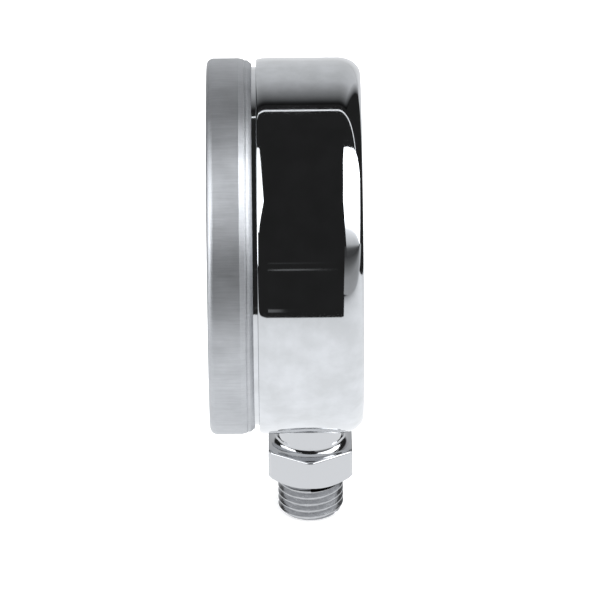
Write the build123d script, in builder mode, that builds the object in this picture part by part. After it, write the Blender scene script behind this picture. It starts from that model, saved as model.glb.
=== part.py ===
from build123d import *
from math import acos, asin, atan2, cos, degrees, pi, radians, sin, sqrt, tan
import os

# Bourdon tube pressure gauge, 63 mm case, stem at the bottom.
# Millimetres. +Z runs up the stem and the dial looks along -Y. The origin is on the stem's axis,
# at the sealing face where the hexagon's underside meets the thread.

os.makedirs("parts", exist_ok=True)

# ---- Driving sizes -----------------------------------------------------------------------------

# Stem and socket
thread_diameter = 11.112  # 7/16 inch, twenty threads to the inch
thread_length = 7.0
thread_chamfer = 0.7
hexagon_across_flats = 14.288  # 9/16 inch
hexagon_height = 5.9
hexagon_corner_diameter = 15.85  # the bar's sharp corners are turned off
underside_chamfer_width = 1.7
underside_chamfer_height = 1.1
shank_diameter = 14.2
block_width = 11.0
block_thickness = 9.0
block_above_tube = 6.0
round_above_floor = 3.0  # the shank stays round this far inside the case
port_bore_diameter = 4.8
port_bore_depth = 9.0
passage_diameter = 2.2

# Case, ring and window
case_diameter = 63.0
case_wall = 1.2
case_back_radius = 3.5
case_inner_corner = 1.7
shank_to_back = 0.6  # gap between the shank and the inside of the case's back
dial_height = 44.0  # the dial's centre above the sealing face
neck_step = 1.5
groove_width = 0.75
ring_length = 7.5
ring_clearance = 0.25
ring_lip = 0.8
ring_lip_width = 3.9
ring_front_radius = 1.2
ring_opening_chamfer = 0.25
ring_bevel_length = 0.9
ring_bevel_drop = 0.35
ring_edge_length = 0.9
ring_edge_drop = 0.6
bayonet_lugs = 3
lug_height = 0.6
lug_length = 1.2
lug_angle = 14.0
lug_turn = 24.0
lug_clearance = 0.2
lug_inset = 1.0  # behind the neck's front edge
lug_entry = 4.0  # degrees of spare width where a lug goes in
window_thickness = 2.0
window_clearance = 0.3
gasket_thickness = 0.8
weld_leg = 0.7
weld_gap = 0.05
plug_diameter = 10.0
plug_flange = 1.2
plug_flange_thickness = 0.8
plug_above_centre = 12.0
plug_recess = 0.15

restrictor_length = 3.0
restrictor_hole = 0.6
restrictor_slot_depth = 1.0

# Bourdon tube and its tip
tube_to_neck = 6.4  # between the tube and the inside of the case's neck
tube_width = 7.0
tube_thickness = 2.8
tube_end_flats = 3
tube_wall = 0.45
tube_start_angle = 268.0  # seen from the front, anticlockwise from +X
tube_sweep = 283.0  # clockwise from the start
braze_gap = 0.04
tip_wall = 0.4
tip_length = 2.0
tip_nose = 1.6
tip_clearance = 0.08

# Movement
gear_module = 0.25
pressure_angle = 20.0
pinion_teeth = 12
sector_full_teeth = 90  # teeth on a full circle of the sector's radius
profile_shift = 0.3
backlash = 0.03
sector_side = -60.0  # where the sector's pivot lies, seen from the pinion
pointer_sweep = 270.0
tail_radius = 4.5
tail_angle = -43.0
link_length = 9.0
link_angle = 64.8
link_width = 2.2
link_thickness = 0.5
layer_gap = 0.2
plate_thickness = 1.0
front_plate_thickness = 0.8
pillar_length = 3.2
pillar_radius = 1.0
plate_edge = 0.9  # metal round each pillar
bearing_edge = 1.8  # metal round each bearing
upper_pillar_angle = 149.0
upper_pillar_gap = 1.8  # from the hairspring
side_pillar_distance = 5.54  # from the sector's pivot
side_pillar_angle = 57.0
lower_pillar_out = 1.3  # from the left mounting screw
lower_pillar_up = 2.2
mount_screw_spacing = 6.4
mount_screw_drop = 1.8  # below the block's top
sector_thickness = 0.8
sector_hub_radius = 1.9
rim_width = 1.7
spoke_width = 1.6
arbor_radius = 0.6
pivot_radius = 0.4
bearing_clearance = 0.03
pin_radius = 0.45
open_pivot_clearance = 0.2
end_play = 0.1
rivet_head_radius = 0.8
rivet_head_height = 0.35
pointer_arbor_radius = 0.5
pinion_length = 1.4
spring_turns = 4
spring_pitch = 1.0
spring_thickness = 0.12
spring_width = 0.4
collet_radius = 1.15
stud_radius = 0.45

# Dial and pointer
dial_clearance = 0.6
dial_thickness = 0.6
dial_gap = 0.3  # behind the dial, to the movement's screw heads
dial_hole_radius = 1.6
dial_post_radius = 1.1
dial_post_edge = 0.5  # from the block's side
dial_post_gap = 1.5  # below the tube
screw_radius = 0.6
screw_head_radius = 1.15
screw_head_height = 0.7
screw_slot = 0.3
screw_depth = 2.0
plate_screw_radius = 0.5
plate_screw_head_height = 0.4
plate_screw_depth = 1.6
pointer_short = 6.7  # from the tip to the dial's edge
pointer_tail = 8.0
pointer_thickness = 0.35
pointer_tip_width = 0.5
pointer_root_width = 2.4
pointer_tail_width = 3.4
pointer_disc_radius = 3.0
pointer_start_angle = 225.0
pointer_above_dial = 0.8
pointer_clearance = 1.45  # from the hub to the window
hub_spigot_radius = 1.2
hub_flange_radius = 1.9
hub_flange_thickness = 0.4
hub_head_height = 0.6
stop_pin_radius = 0.4
stop_pin_distance = 14.0
stop_pin_height = 1.6
stop_pin_gap = 0.3  # degrees from the pointer at zero

# ---- Sizes that follow -------------------------------------------------------------------------

case_radius = case_diameter / 2
neck_radius = case_radius - neck_step
neck_bore_radius = neck_radius - case_wall
ring_inner_radius = neck_radius + ring_clearance
ring_opening_radius = case_radius - ring_lip_width
shank_radius = shank_diameter / 2
dial_radius = neck_bore_radius - dial_clearance
tube_radius = neck_bore_radius - tube_to_neck - tube_thickness / 2
pointer_length = dial_radius - pointer_short

# Depths: the movement is stacked forwards from the block, the dial goes in front of it, then the
# pointer, the window and the ring. The case's back clears the shank.
block_front_y = -block_thickness / 2
back_plate_front_y = block_front_y - plate_thickness
front_plate_back_y = back_plate_front_y - pillar_length
front_plate_front_y = front_plate_back_y - front_plate_thickness
sector_back_y = back_plate_front_y - (pillar_length - sector_thickness) / 2
sector_front_y = sector_back_y - sector_thickness
link_front_y = sector_back_y + layer_gap
link_back_y = link_front_y + link_thickness
lug_front_y = link_back_y + layer_gap
dial_back_y = front_plate_front_y - plate_screw_head_height - dial_gap
dial_front_y = dial_back_y - dial_thickness
pointer_back_y = dial_front_y - pointer_above_dial
pointer_front_y = pointer_back_y - pointer_thickness
hub_front_y = pointer_front_y - hub_head_height
window_back_y = hub_front_y - pointer_clearance
lip_back_y = window_back_y - window_thickness
front_y = lip_back_y - ring_lip
neck_front_y = window_back_y + gasket_thickness
ring_back_y = front_y + ring_length
body_front_y = ring_back_y + groove_width
back_y = shank_radius + shank_to_back + case_wall

pinion_radius = gear_module * pinion_teeth / 2
sector_radius = gear_module * sector_full_teeth / 2
centre_distance = pinion_radius + sector_radius
sector_swing = pointer_sweep * pinion_teeth / sector_full_teeth
tooth_step = 360 / sector_full_teeth

dial_centre = (0, 0, dial_height)
dial_axis = Axis(dial_centre, (0, 1, 0))
stem_axis = Axis.Z


def polar(radius, angle, centre=(0, 0)):
    """A point in the dial's view, from its distance and its angle about a centre."""
    return (
        centre[0] + radius * cos(radians(angle)),
        centre[1] + radius * sin(radians(angle)),
    )


sector_pivot = polar(centre_distance, sector_side)
tail_pivot = polar(tail_radius, tail_angle, sector_pivot)
tip_pivot = polar(link_length, link_angle, tail_pivot)
tube_end_angle = tube_start_angle - tube_sweep
block_top = block_above_tube - tube_radius
mount_screw_level = block_top - mount_screw_drop
mount_screw_places = [(side * mount_screw_spacing / 2, mount_screw_level) for side in (-1, 1)]
dial_post_out = block_width / 2 - dial_post_edge - dial_post_radius
dial_post_level = -(tube_radius + tube_thickness / 2 + dial_post_gap + dial_post_radius)
dial_post_places = [(side * dial_post_out, dial_post_level) for side in (-1, 1)]
spring_start = collet_radius + spring_thickness / 2
spring_end = spring_start + spring_turns * spring_pitch
pillar_places = [
    polar(spring_end + upper_pillar_gap + pillar_radius, upper_pillar_angle),
    polar(side_pillar_distance, side_pillar_angle, sector_pivot),
    (-mount_screw_spacing / 2 - lower_pillar_out, mount_screw_level + lower_pillar_up),
]


def facing_dial(y):
    """The plane at depth y that is seen square on from the front; extrusions go to the front."""
    return Plane(origin=(0, y, dial_height), x_dir=(1, 0, 0), z_dir=(0, -1, 0))


def through_dial_axis(angle=90.0):
    """The plane of the dial's axis and a radius: local x is depth, local y is radius."""
    normal = (sin(radians(angle)), 0, -cos(radians(angle)))
    return Plane(origin=dial_centre, x_dir=(0, 1, 0), z_dir=normal)


def hull_round(*bosses):
    """The flat outline stretched round some circles, each given as a centre and a radius."""
    with BuildLine() as rounds:
        for centre, radius in bosses:
            CenterArc(centre, radius, 0, 360)
    make_hull(rounds.edges())


def write(piece, name):
    """Label the finished piece and write its STEP file."""
    piece.part.label = name
    export_step(piece.part, f"parts/{name}.step")


# ---- Case --------------------------------------------------------------------------------------

# Drawn stainless cup: a flat back, and a stepped-in neck that the ring fits over. Each bayonet
# slot in the neck runs in from its front edge, then round under the ring's lug.
slot_front_y = neck_front_y + lug_inset
slot_length = lug_length + lug_clearance
slot_radius = ring_inner_radius - lug_height - lug_clearance
slot_middle_radius = (slot_radius + ring_inner_radius) / 2
slot_depth = ring_inner_radius - slot_radius
entry_angle = lug_angle + lug_entry
bayonet_angles = [90 + number * 360 / bayonet_lugs for number in range(bayonet_lugs)]

with BuildPart() as case:
    with BuildSketch(through_dial_axis()):
        with BuildLine():
            Polyline(
                (neck_front_y, neck_bore_radius),
                (neck_front_y, neck_radius),
                (body_front_y, neck_radius),
                (body_front_y, case_radius),
                (back_y, case_radius),
                (back_y, 0),
                (back_y - case_wall, 0),
                (back_y - case_wall, case_radius - case_wall),
                (body_front_y + case_wall, case_radius - case_wall),
                (body_front_y + case_wall, neck_bore_radius),
                close=True,
            )
        make_face()
    revolve(axis=dial_axis)
    back_circles = case.edges().filter_by(GeomType.CIRCLE).group_by(Axis.Y)
    chamfer(back_circles[-2], case_inner_corner)
    fillet(case.edges().filter_by(GeomType.CIRCLE).group_by(Axis.Y)[-1], case_back_radius)
    for angle in bayonet_angles:
        with BuildSketch(through_dial_axis(angle + lug_angle / 2)):
            with Locations((slot_front_y + slot_length / 2, slot_middle_radius)):
                Rectangle(slot_length, slot_depth)
        revolve(axis=dial_axis, revolution_arc=lug_turn + entry_angle, mode=Mode.SUBTRACT)
        with BuildSketch(through_dial_axis(angle + lug_angle / 2 - lug_turn)):
            with Locations(((neck_front_y + slot_front_y) / 2, slot_middle_radius)):
                Rectangle(lug_inset, slot_depth)
        revolve(axis=dial_axis, revolution_arc=entry_angle, mode=Mode.SUBTRACT)
    with BuildSketch(Plane.XY.offset(dial_height - case_radius - case_wall)):
        Circle(shank_radius + weld_gap)
    extrude(amount=case_wall + round_above_floor + case_wall, mode=Mode.SUBTRACT)
    with BuildSketch(facing_dial(back_y)):
        with Locations((0, plug_above_centre)):
            Circle(plug_diameter / 2)
    extrude(amount=case_wall, mode=Mode.SUBTRACT)
write(case, "case")

# Moulded rubber disc that blows out of the case's back if the tube bursts.
with BuildPart() as blow_out_plug:
    with BuildSketch(facing_dial(back_y - plug_recess)):
        with Locations((0, plug_above_centre)):
            Circle(plug_diameter / 2)
    extrude(amount=case_wall - plug_recess)
    with BuildSketch(facing_dial(back_y - case_wall)):
        with Locations((0, plug_above_centre)):
            Circle(plug_diameter / 2 + plug_flange)
    extrude(amount=plug_flange_thickness)
write(blow_out_plug, "blow_out_plug")

# ---- Bayonet ring, window and its gasket -------------------------------------------------------

# Spun stainless ring: a rounded front lip over the window, a plain band, and a rear edge that
# tapers in two steps to a thin rim over the case's neck.
bevel_y = ring_back_y - ring_edge_length - ring_bevel_length

with BuildPart() as bezel_ring:
    with BuildSketch(through_dial_axis()):
        with BuildLine():
            Polyline(
                (front_y, ring_opening_radius),
                (front_y, case_radius),
                (bevel_y, case_radius),
                (ring_back_y - ring_edge_length, case_radius - ring_bevel_drop),
                (ring_back_y, case_radius - ring_bevel_drop - ring_edge_drop),
                (ring_back_y, ring_inner_radius),
                (lip_back_y, ring_inner_radius),
                (lip_back_y, ring_opening_radius),
                close=True,
            )
        make_face()
    revolve(axis=dial_axis)
    front_circles = bezel_ring.edges().filter_by(GeomType.CIRCLE).group_by(Axis.Y)[0]
    fillet(front_circles.sort_by(SortBy.RADIUS)[-1], ring_front_radius)
    inner_edge = bezel_ring.edges().filter_by(GeomType.CIRCLE).group_by(Axis.Y)[0]
    chamfer(inner_edge.sort_by(SortBy.RADIUS)[0], ring_opening_chamfer)
    for angle in bayonet_angles:
        with BuildSketch(through_dial_axis(angle + lug_angle / 2)):
            with Locations((slot_front_y + lug_length / 2, ring_inner_radius)):
                Rectangle(lug_length, 2 * lug_height)
        revolve(axis=dial_axis, revolution_arc=lug_angle)
write(bezel_ring, "bezel_ring")

# Flat instrument glass, held between the ring's lip and the gasket.
window_radius = ring_inner_radius - window_clearance
with BuildPart() as window:
    with BuildSketch(facing_dial(window_back_y)):
        Circle(window_radius)
    extrude(amount=window_thickness)
write(window, "window")

# Flat rubber ring on the front edge of the neck.
with BuildPart() as window_gasket:
    with BuildSketch(facing_dial(neck_front_y)):
        Circle(window_radius)
        Circle(neck_bore_radius, mode=Mode.SUBTRACT)
    extrude(amount=gasket_thickness)
write(window_gasket, "window_gasket")

# ---- Socket ------------------------------------------------------------------------------------

# One turned and milled stainless piece: threaded stem, hexagon, round shank through the case's
# wall, and inside the case a flat-sided block that carries the tube and the movement. The thread's
# helix isn't cut here: the stem is plain at the thread's outside diameter.
round_top_z = dial_height - case_radius + round_above_floor
hexagon_flat_radius = hexagon_across_flats / 2
passage_top_z = dial_height - tube_radius
pocket_arc = degrees(block_width / tube_radius)


def tube_section(extra=0.0, mode=Mode.ADD):
    """The flattened oval of the tube, larger all round by extra; its round ends are flats."""
    end_radius = tube_thickness / 2 + extra
    end_centre = tube_width / 2 - tube_thickness / 2
    turns = [180 * flat / tube_end_flats for flat in range(tube_end_flats + 1)]
    right = [polar(end_radius, turn - 90, (end_centre, 0)) for turn in turns]
    left = [polar(end_radius, turn + 90, (-end_centre, 0)) for turn in turns]
    with Locations((0, tube_radius)):
        Polygon(*right, *left, mode=mode)


with BuildPart() as socket:
    with BuildSketch():
        RegularPolygon(hexagon_flat_radius, 6, major_radius=False)
        Circle(hexagon_corner_diameter / 2, mode=Mode.INTERSECT)
    extrude(amount=hexagon_height)
    with BuildSketch(Plane.XZ):
        with BuildLine():
            Polyline(
                (hexagon_corner_diameter / 2 - underside_chamfer_width, 0),
                (hexagon_corner_diameter / 2, underside_chamfer_height),
                (hexagon_corner_diameter / 2, 0),
                close=True,
            )
        make_face()
    revolve(axis=stem_axis, mode=Mode.SUBTRACT)
    with BuildSketch(Plane.XY.offset(-thread_length)):
        Circle(thread_diameter / 2)
    extrude(amount=thread_length)
    chamfer(socket.edges().group_by(Axis.Z)[0], thread_chamfer)
    with BuildSketch(Plane.XY.offset(hexagon_height)):
        Circle(shank_radius)
    extrude(amount=round_top_z - hexagon_height)
    with BuildSketch(Plane.XY.offset(round_top_z)):
        Circle(shank_radius)
        Rectangle(block_width, block_thickness, mode=Mode.INTERSECT)
    extrude(amount=dial_height + block_top - round_top_z)
    with BuildSketch(Plane.XY.offset(-thread_length)):
        Circle(port_bore_diameter / 2)
    extrude(amount=port_bore_depth, mode=Mode.SUBTRACT)
    with BuildSketch(Plane.XY.offset(-thread_length)):
        Circle(passage_diameter / 2)
    extrude(amount=passage_top_z + thread_length, mode=Mode.SUBTRACT)
    with BuildSketch(through_dial_axis(tube_start_angle)):
        tube_section(braze_gap)
    revolve(axis=dial_axis, revolution_arc=pocket_arc, mode=Mode.SUBTRACT)
    with BuildSketch(facing_dial(block_front_y + screw_depth)):
        with Locations(*mount_screw_places, *dial_post_places):
            Circle(screw_radius)
    extrude(amount=screw_depth, mode=Mode.SUBTRACT)
write(socket, "socket")


# Weld bead round the shank where it leaves the case: it follows the case's curve and corner.
def case_outline(extra=0.0, mode=Mode.ADD):
    """Half the case's outside in section, larger all round by extra."""
    corner = (back_y - case_back_radius, case_radius - case_back_radius)
    with BuildLine() as outline:
        CenterArc(corner, case_back_radius + extra, 0, 90)
        Polyline(
            (corner[0], case_radius + extra),
            (body_front_y, case_radius + extra),
            (body_front_y, 0),
            (back_y + extra, 0),
            (back_y + extra, corner[1]),
        )
    make_face(outline.edges(), mode=mode)


with BuildPart() as weld_bead:
    with BuildSketch(Plane.XY.offset(dial_height - case_radius - 2 * weld_leg)):
        Circle(shank_radius + weld_leg)
        Circle(shank_radius, mode=Mode.SUBTRACT)
    extrude(amount=case_radius / 2)
    with BuildSketch(through_dial_axis()):
        case_outline(weld_leg)
        case_outline(mode=Mode.SUBTRACT)
    revolve(axis=dial_axis, mode=Mode.INTERSECT)
write(weld_bead, "weld_bead")

# Brass screw in the port with a fine hole that damps pressure shocks.
restrictor_top_z = port_bore_depth - thread_length
with BuildPart() as restrictor_screw:
    with BuildSketch(Plane.XY.offset(restrictor_top_z - restrictor_length)):
        Circle(port_bore_diameter / 2)
    extrude(amount=restrictor_length)
    with BuildSketch(Plane.XY.offset(restrictor_top_z)):
        Circle(restrictor_hole / 2)
    extrude(amount=-restrictor_length, mode=Mode.SUBTRACT)
    with BuildSketch(Plane.XY.offset(restrictor_top_z - restrictor_length)):
        Rectangle(port_bore_diameter, screw_slot * 2)
    extrude(amount=restrictor_slot_depth, mode=Mode.SUBTRACT)
write(restrictor_screw, "restrictor_screw")

# ---- Bourdon tube and tip ----------------------------------------------------------------------

# Flattened tube bent to an open circle. Its start is brazed into the socket's block.
with BuildPart() as bourdon_tube:
    with BuildSketch(through_dial_axis(tube_start_angle)):
        tube_section()
        tube_section(-tube_wall, Mode.SUBTRACT)
    revolve(axis=dial_axis, revolution_arc=tube_sweep)
write(bourdon_tube, "bourdon_tube")

# Cap that closes the tube's free end: a nose inside the tube, a cap past its end, and a lug that
# reaches in towards the link.
tip_arc = degrees(tip_length / tube_radius)
nose_arc = degrees(tip_nose / tube_radius)
cap_middle = polar(tube_radius, tube_end_angle - tip_arc / 2)
lug_back_y = tube_thickness / 2 - tube_width / 2

with BuildPart() as tube_tip:
    with BuildSketch(through_dial_axis(tube_end_angle)):
        tube_section(tip_wall)
    revolve(axis=dial_axis, revolution_arc=tip_arc)
    with BuildSketch(through_dial_axis(tube_end_angle)):
        tube_section(-tube_wall - tip_clearance)
    revolve(axis=dial_axis, revolution_arc=-nose_arc)
    with BuildSketch(facing_dial(lug_back_y)):
        hull_round((cap_middle, tip_length / 2), (tip_pivot, link_width / 2))
    extrude(amount=lug_back_y - lug_front_y)
    with BuildSketch(facing_dial(lug_back_y)):
        with Locations(tip_pivot):
            Circle(pin_radius)
    extrude(amount=lug_back_y - lug_front_y, mode=Mode.SUBTRACT)
write(tube_tip, "tube_tip")

# Rivet that the link's open end turns on, pressed into the tip's lug.
with BuildPart() as tip_pin:
    with BuildSketch(facing_dial(lug_back_y)):
        with Locations(tip_pivot):
            Circle(pin_radius)
    extrude(amount=lug_back_y - link_front_y + end_play)
    with BuildSketch(facing_dial(link_front_y - end_play)):
        with Locations(tip_pivot):
            Circle(rivet_head_radius)
    extrude(amount=rivet_head_height)
write(tip_pin, "tip_pin")

# ---- Link, sector and pinion -------------------------------------------------------------------

# Flat brass strip from the tube's tip to the sector's tail. Its hole at the tip is the opened
# pivot of the closed linkage, so it is wider than its pin.
with BuildPart() as link:
    with BuildSketch(facing_dial(link_back_y)):
        hull_round((tail_pivot, link_width / 2), (tip_pivot, link_width / 2))
        with Locations(tail_pivot):
            Circle(pin_radius + bearing_clearance, mode=Mode.SUBTRACT)
        with Locations(tip_pivot):
            Circle(pin_radius + open_pivot_clearance, mode=Mode.SUBTRACT)
    extrude(amount=link_thickness)
write(link, "link")

with BuildPart() as tail_pin:
    with BuildSketch(facing_dial(link_back_y + end_play + rivet_head_height)):
        with Locations(tail_pivot):
            Circle(rivet_head_radius)
    extrude(amount=rivet_head_height)
    with BuildSketch(facing_dial(link_back_y + end_play)):
        with Locations(tail_pivot):
            Circle(pin_radius)
    extrude(amount=link_back_y + end_play - sector_front_y)
write(tail_pin, "tail_pin")


def involute(angle):
    return tan(angle) - angle


def tip_circle(teeth, shift):
    return gear_module * (teeth / 2 + 1 + shift)


def root_circle(teeth, shift):
    return gear_module * (teeth / 2 - 1.25 + shift)


def draw_tooth(direction, teeth, shift, centre=(0, 0)):
    """One involute tooth, pointing away from the gear's centre and rooted below its root circle."""
    pitch_radius = gear_module * teeth / 2
    base_radius = pitch_radius * cos(radians(pressure_angle))
    thickness = gear_module * (pi / 2 + 2 * shift * tan(radians(pressure_angle))) - backlash
    upright = thickness / (2 * pitch_radius) + involute(radians(pressure_angle))

    def half_angle(radius):
        return degrees(upright - involute(acos(base_radius / max(radius, base_radius))))

    tip = tip_circle(teeth, shift)
    foot = max(base_radius, root_circle(teeth, shift))
    sunk = root_circle(teeth, shift) - gear_module / 2
    radii = (sunk, foot, (foot + tip) / 2, tip)
    left = [polar(radius, direction + half_angle(radius), centre) for radius in radii]
    right = [polar(radius, direction - half_angle(radius), centre) for radius in radii]
    with BuildLine() as tooth:
        Line(left[0], left[1])
        ThreePointArc(*left[1:])
        Line(left[3], right[3])
        ThreePointArc(*right[:0:-1])
        Line(right[1], right[0])
        Line(right[0], left[0])
    make_face(tooth.edges())


# Toothed sector on its arbor. At rest the tooth at the fan's one end stands on the line of
# centres, in a gap of the pinion; at full scale the last tooth does.
mesh_angle = sector_side + 180
spare_teeth = 1
teeth_in_use = round(sector_swing / tooth_step)
sector_root = root_circle(sector_full_teeth, -profile_shift)
fan_start = mesh_angle - sector_swing - (spare_teeth + 0.5) * tooth_step
fan_end = mesh_angle + (spare_teeth + 0.5) * tooth_step
rim_inner = sector_root - rim_width
spoke_turn = degrees(spoke_width / 2 / rim_inner)

with BuildPart() as sector_gear:
    with BuildSketch(facing_dial(sector_back_y)):
        with BuildLine():
            CenterArc(sector_pivot, sector_root, fan_start, fan_end - fan_start)
            CenterArc(sector_pivot, rim_inner, fan_start, fan_end - fan_start)
            for angle in (fan_start, fan_end):
                Line(polar(rim_inner, angle, sector_pivot), polar(sector_root, angle, sector_pivot))
        make_face()
        for number in range(-spare_teeth - teeth_in_use, spare_teeth + 1):
            draw_tooth(
                mesh_angle + number * tooth_step, sector_full_teeth, -profile_shift, sector_pivot
            )
        for angle in (fan_start + spoke_turn, fan_end - spoke_turn):
            with Locations(polar((rim_inner + rim_width / 2) / 2, angle, sector_pivot)):
                Rectangle(rim_inner + rim_width / 2, spoke_width, rotation=angle)
        hull_round((sector_pivot, sector_hub_radius), (tail_pivot, link_width / 2))
        with Locations(sector_pivot):
            Circle(arbor_radius, mode=Mode.SUBTRACT)
        with Locations(tail_pivot):
            Circle(pin_radius, mode=Mode.SUBTRACT)
    extrude(amount=sector_thickness)
write(sector_gear, "sector_gear")

with BuildPart() as sector_arbor:
    with BuildSketch(facing_dial(back_plate_front_y - end_play)):
        with Locations(sector_pivot):
            Circle(arbor_radius)
    extrude(amount=pillar_length - 2 * end_play)
    with BuildSketch(facing_dial(block_front_y)):
        with Locations(sector_pivot):
            Circle(pivot_radius)
    extrude(amount=block_front_y - front_plate_front_y)
write(sector_arbor, "sector_arbor")

# Steel pinion cut in one with its arbor, which carries the pointer in front of the dial.
pinion_back_y = (sector_back_y + sector_front_y + pinion_length) / 2
pinion_front_y = pinion_back_y - pinion_length
pinion_tooth_turn = sector_side + 180 / pinion_teeth

with BuildPart() as pinion:
    with BuildSketch(facing_dial(pinion_back_y)):
        Circle(root_circle(pinion_teeth, profile_shift))
        for number in range(pinion_teeth):
            draw_tooth(pinion_tooth_turn + number * 360 / pinion_teeth, pinion_teeth, profile_shift)
    extrude(amount=pinion_length)
    with BuildSketch(facing_dial(back_plate_front_y - end_play)):
        Circle(arbor_radius)
    extrude(amount=pillar_length - 2 * end_play)
    with BuildSketch(facing_dial(block_front_y)):
        Circle(pivot_radius)
    extrude(amount=plate_thickness + end_play)
    with BuildSketch(facing_dial(front_plate_back_y + end_play)):
        Circle(pointer_arbor_radius)
    extrude(amount=front_plate_back_y + end_play - hub_front_y)
write(pinion, "pinion")

# ---- Hairspring --------------------------------------------------------------------------------

# Flat bronze spiral that takes up the backlash: a split collet on the pinion's arbor, the spring,
# and a stud in the front plate that holds its outer end.
spring_middle_y = (pinion_front_y + front_plate_back_y) / 2
collet_length = pinion_front_y - front_plate_back_y - 2 * end_play

with BuildPart() as hairspring_collet:
    with BuildSketch(facing_dial(spring_middle_y + collet_length / 2)):
        Circle(collet_radius)
        Circle(arbor_radius, mode=Mode.SUBTRACT)
    extrude(amount=collet_length)
write(hairspring_collet, "hairspring_collet")

# The spiral is half turns, each wider than the last by half the pitch, about two centres.
faces_of_strip = (-spring_thickness / 2, spring_thickness / 2)

with BuildPart() as hairspring:
    with BuildSketch(facing_dial(spring_middle_y + spring_width / 2)):
        with BuildLine():
            for half_turn in range(2 * spring_turns):
                centre = (half_turn % 2 * spring_pitch / 2, 0)
                radius = spring_start + half_turn * spring_pitch / 2
                for offset in faces_of_strip:
                    CenterArc(centre, radius + offset, 180 * half_turn, 180)
            for end in (spring_start, spring_end):
                Line(*[(end + offset, 0) for offset in faces_of_strip])
        make_face()
    extrude(amount=spring_width)
write(hairspring, "hairspring")

stud_place = (spring_end, stud_radius)
with BuildPart() as hairspring_stud:
    with BuildSketch(facing_dial(spring_middle_y + collet_length / 2)):
        with Locations(stud_place):
            Circle(stud_radius)
    extrude(amount=spring_middle_y + collet_length / 2 - front_plate_front_y)
write(hairspring_stud, "hairspring_stud")

# ---- Movement frame ----------------------------------------------------------------------------

# Two brass plates held apart by three pillars. The pillars are riveted into the back plate, and
# screws hold the front plate on them.
pillar_bosses = [(place, pillar_radius + plate_edge) for place in pillar_places]
bearing_bosses = [
    ((0, 0), pointer_arbor_radius + bearing_edge),
    (sector_pivot, pivot_radius + bearing_edge),
]

with BuildPart() as movement_back_plate:
    with BuildSketch(facing_dial(block_front_y)):
        screw_bosses = [(place, screw_head_radius + plate_edge) for place in mount_screw_places]
        hull_round(*pillar_bosses, *bearing_bosses, *screw_bosses)
        with Locations((0, 0), sector_pivot):
            Circle(pivot_radius + bearing_clearance, mode=Mode.SUBTRACT)
        with Locations(*mount_screw_places):
            Circle(screw_radius, mode=Mode.SUBTRACT)
        with Locations(*pillar_places):
            Circle(plate_screw_radius, mode=Mode.SUBTRACT)
    extrude(amount=plate_thickness)
write(movement_back_plate, "movement_back_plate")

with BuildPart() as movement_front_plate:
    with BuildSketch(facing_dial(front_plate_back_y)):
        stud_boss = (stud_place, stud_radius + plate_edge)
        hull_round(*pillar_bosses, *bearing_bosses, stud_boss)
        with Locations((0, 0)):
            Circle(pointer_arbor_radius + bearing_clearance, mode=Mode.SUBTRACT)
        with Locations(sector_pivot):
            Circle(pivot_radius + bearing_clearance, mode=Mode.SUBTRACT)
        with Locations(stud_place):
            Circle(stud_radius, mode=Mode.SUBTRACT)
        with Locations(*pillar_places):
            Circle(plate_screw_radius, mode=Mode.SUBTRACT)
    extrude(amount=front_plate_thickness)
write(movement_front_plate, "movement_front_plate")

screw_bite = plate_screw_depth - front_plate_thickness
with BuildPart() as movement_pillars:
    with BuildSketch(facing_dial(block_front_y)):
        with Locations(*pillar_places):
            Circle(plate_screw_radius)
    extrude(amount=plate_thickness)
    with BuildSketch(facing_dial(back_plate_front_y)):
        with Locations(*pillar_places):
            Circle(pillar_radius)
    extrude(amount=pillar_length)
    with BuildSketch(facing_dial(front_plate_back_y + screw_bite)):
        with Locations(*pillar_places):
            Circle(plate_screw_radius)
    extrude(amount=screw_bite, mode=Mode.SUBTRACT)
write(movement_pillars, "movement_pillars")


def slotted_screws(places, seat_y, depth, radius, head_radius, head_height):
    """Cheese-head screws seated on a face at depth y, as one group of separate solids."""
    with BuildPart() as screws:
        with BuildSketch(facing_dial(seat_y + depth)):
            with Locations(*places):
                Circle(radius)
        extrude(amount=depth)
        with BuildSketch(facing_dial(seat_y)):
            with Locations(*places):
                Circle(head_radius)
        extrude(amount=head_height)
        with BuildSketch(facing_dial(seat_y - head_height)):
            with Locations(*places):
                Rectangle(3 * head_radius, screw_slot)
        extrude(amount=-head_height / 2, mode=Mode.SUBTRACT)
    return screws


movement_plate_screws = slotted_screws(
    pillar_places,
    front_plate_front_y,
    plate_screw_depth,
    plate_screw_radius,
    pillar_radius,
    plate_screw_head_height,
)
write(movement_plate_screws, "movement_plate_screws")

# Two screws hold the movement on the socket's block.
movement_mount_screws = slotted_screws(
    mount_screw_places,
    back_plate_front_y,
    plate_thickness + screw_depth,
    screw_radius,
    screw_head_radius,
    screw_head_height,
)
write(movement_mount_screws, "movement_mount_screws")

# ---- Dial and pointer --------------------------------------------------------------------------

# Two posts on the block hold the dial, and a screw in the end of each clamps it.
with BuildPart() as dial_posts:
    with BuildSketch(facing_dial(block_front_y + screw_depth)):
        with Locations(*dial_post_places):
            Circle(screw_radius)
    extrude(amount=screw_depth)
    with BuildSketch(facing_dial(block_front_y)):
        with Locations(*dial_post_places):
            Circle(dial_post_radius)
    extrude(amount=block_front_y - dial_back_y)
    with BuildSketch(facing_dial(dial_back_y)):
        with Locations(*dial_post_places):
            Circle(screw_radius)
    extrude(amount=-screw_depth, mode=Mode.SUBTRACT)
write(dial_posts, "dial_posts")

# A small pin beside the pointer, towards lower readings, stops it at zero.
pointer_taper = (pointer_root_width - pointer_tip_width) / 2 / pointer_length
pointer_half_width = pointer_root_width / 2 - pointer_taper * stop_pin_distance
stop_pin_turn = degrees(asin((pointer_half_width + stop_pin_radius) / stop_pin_distance))
stop_pin_place = polar(stop_pin_distance, pointer_start_angle + stop_pin_turn + stop_pin_gap)

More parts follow.
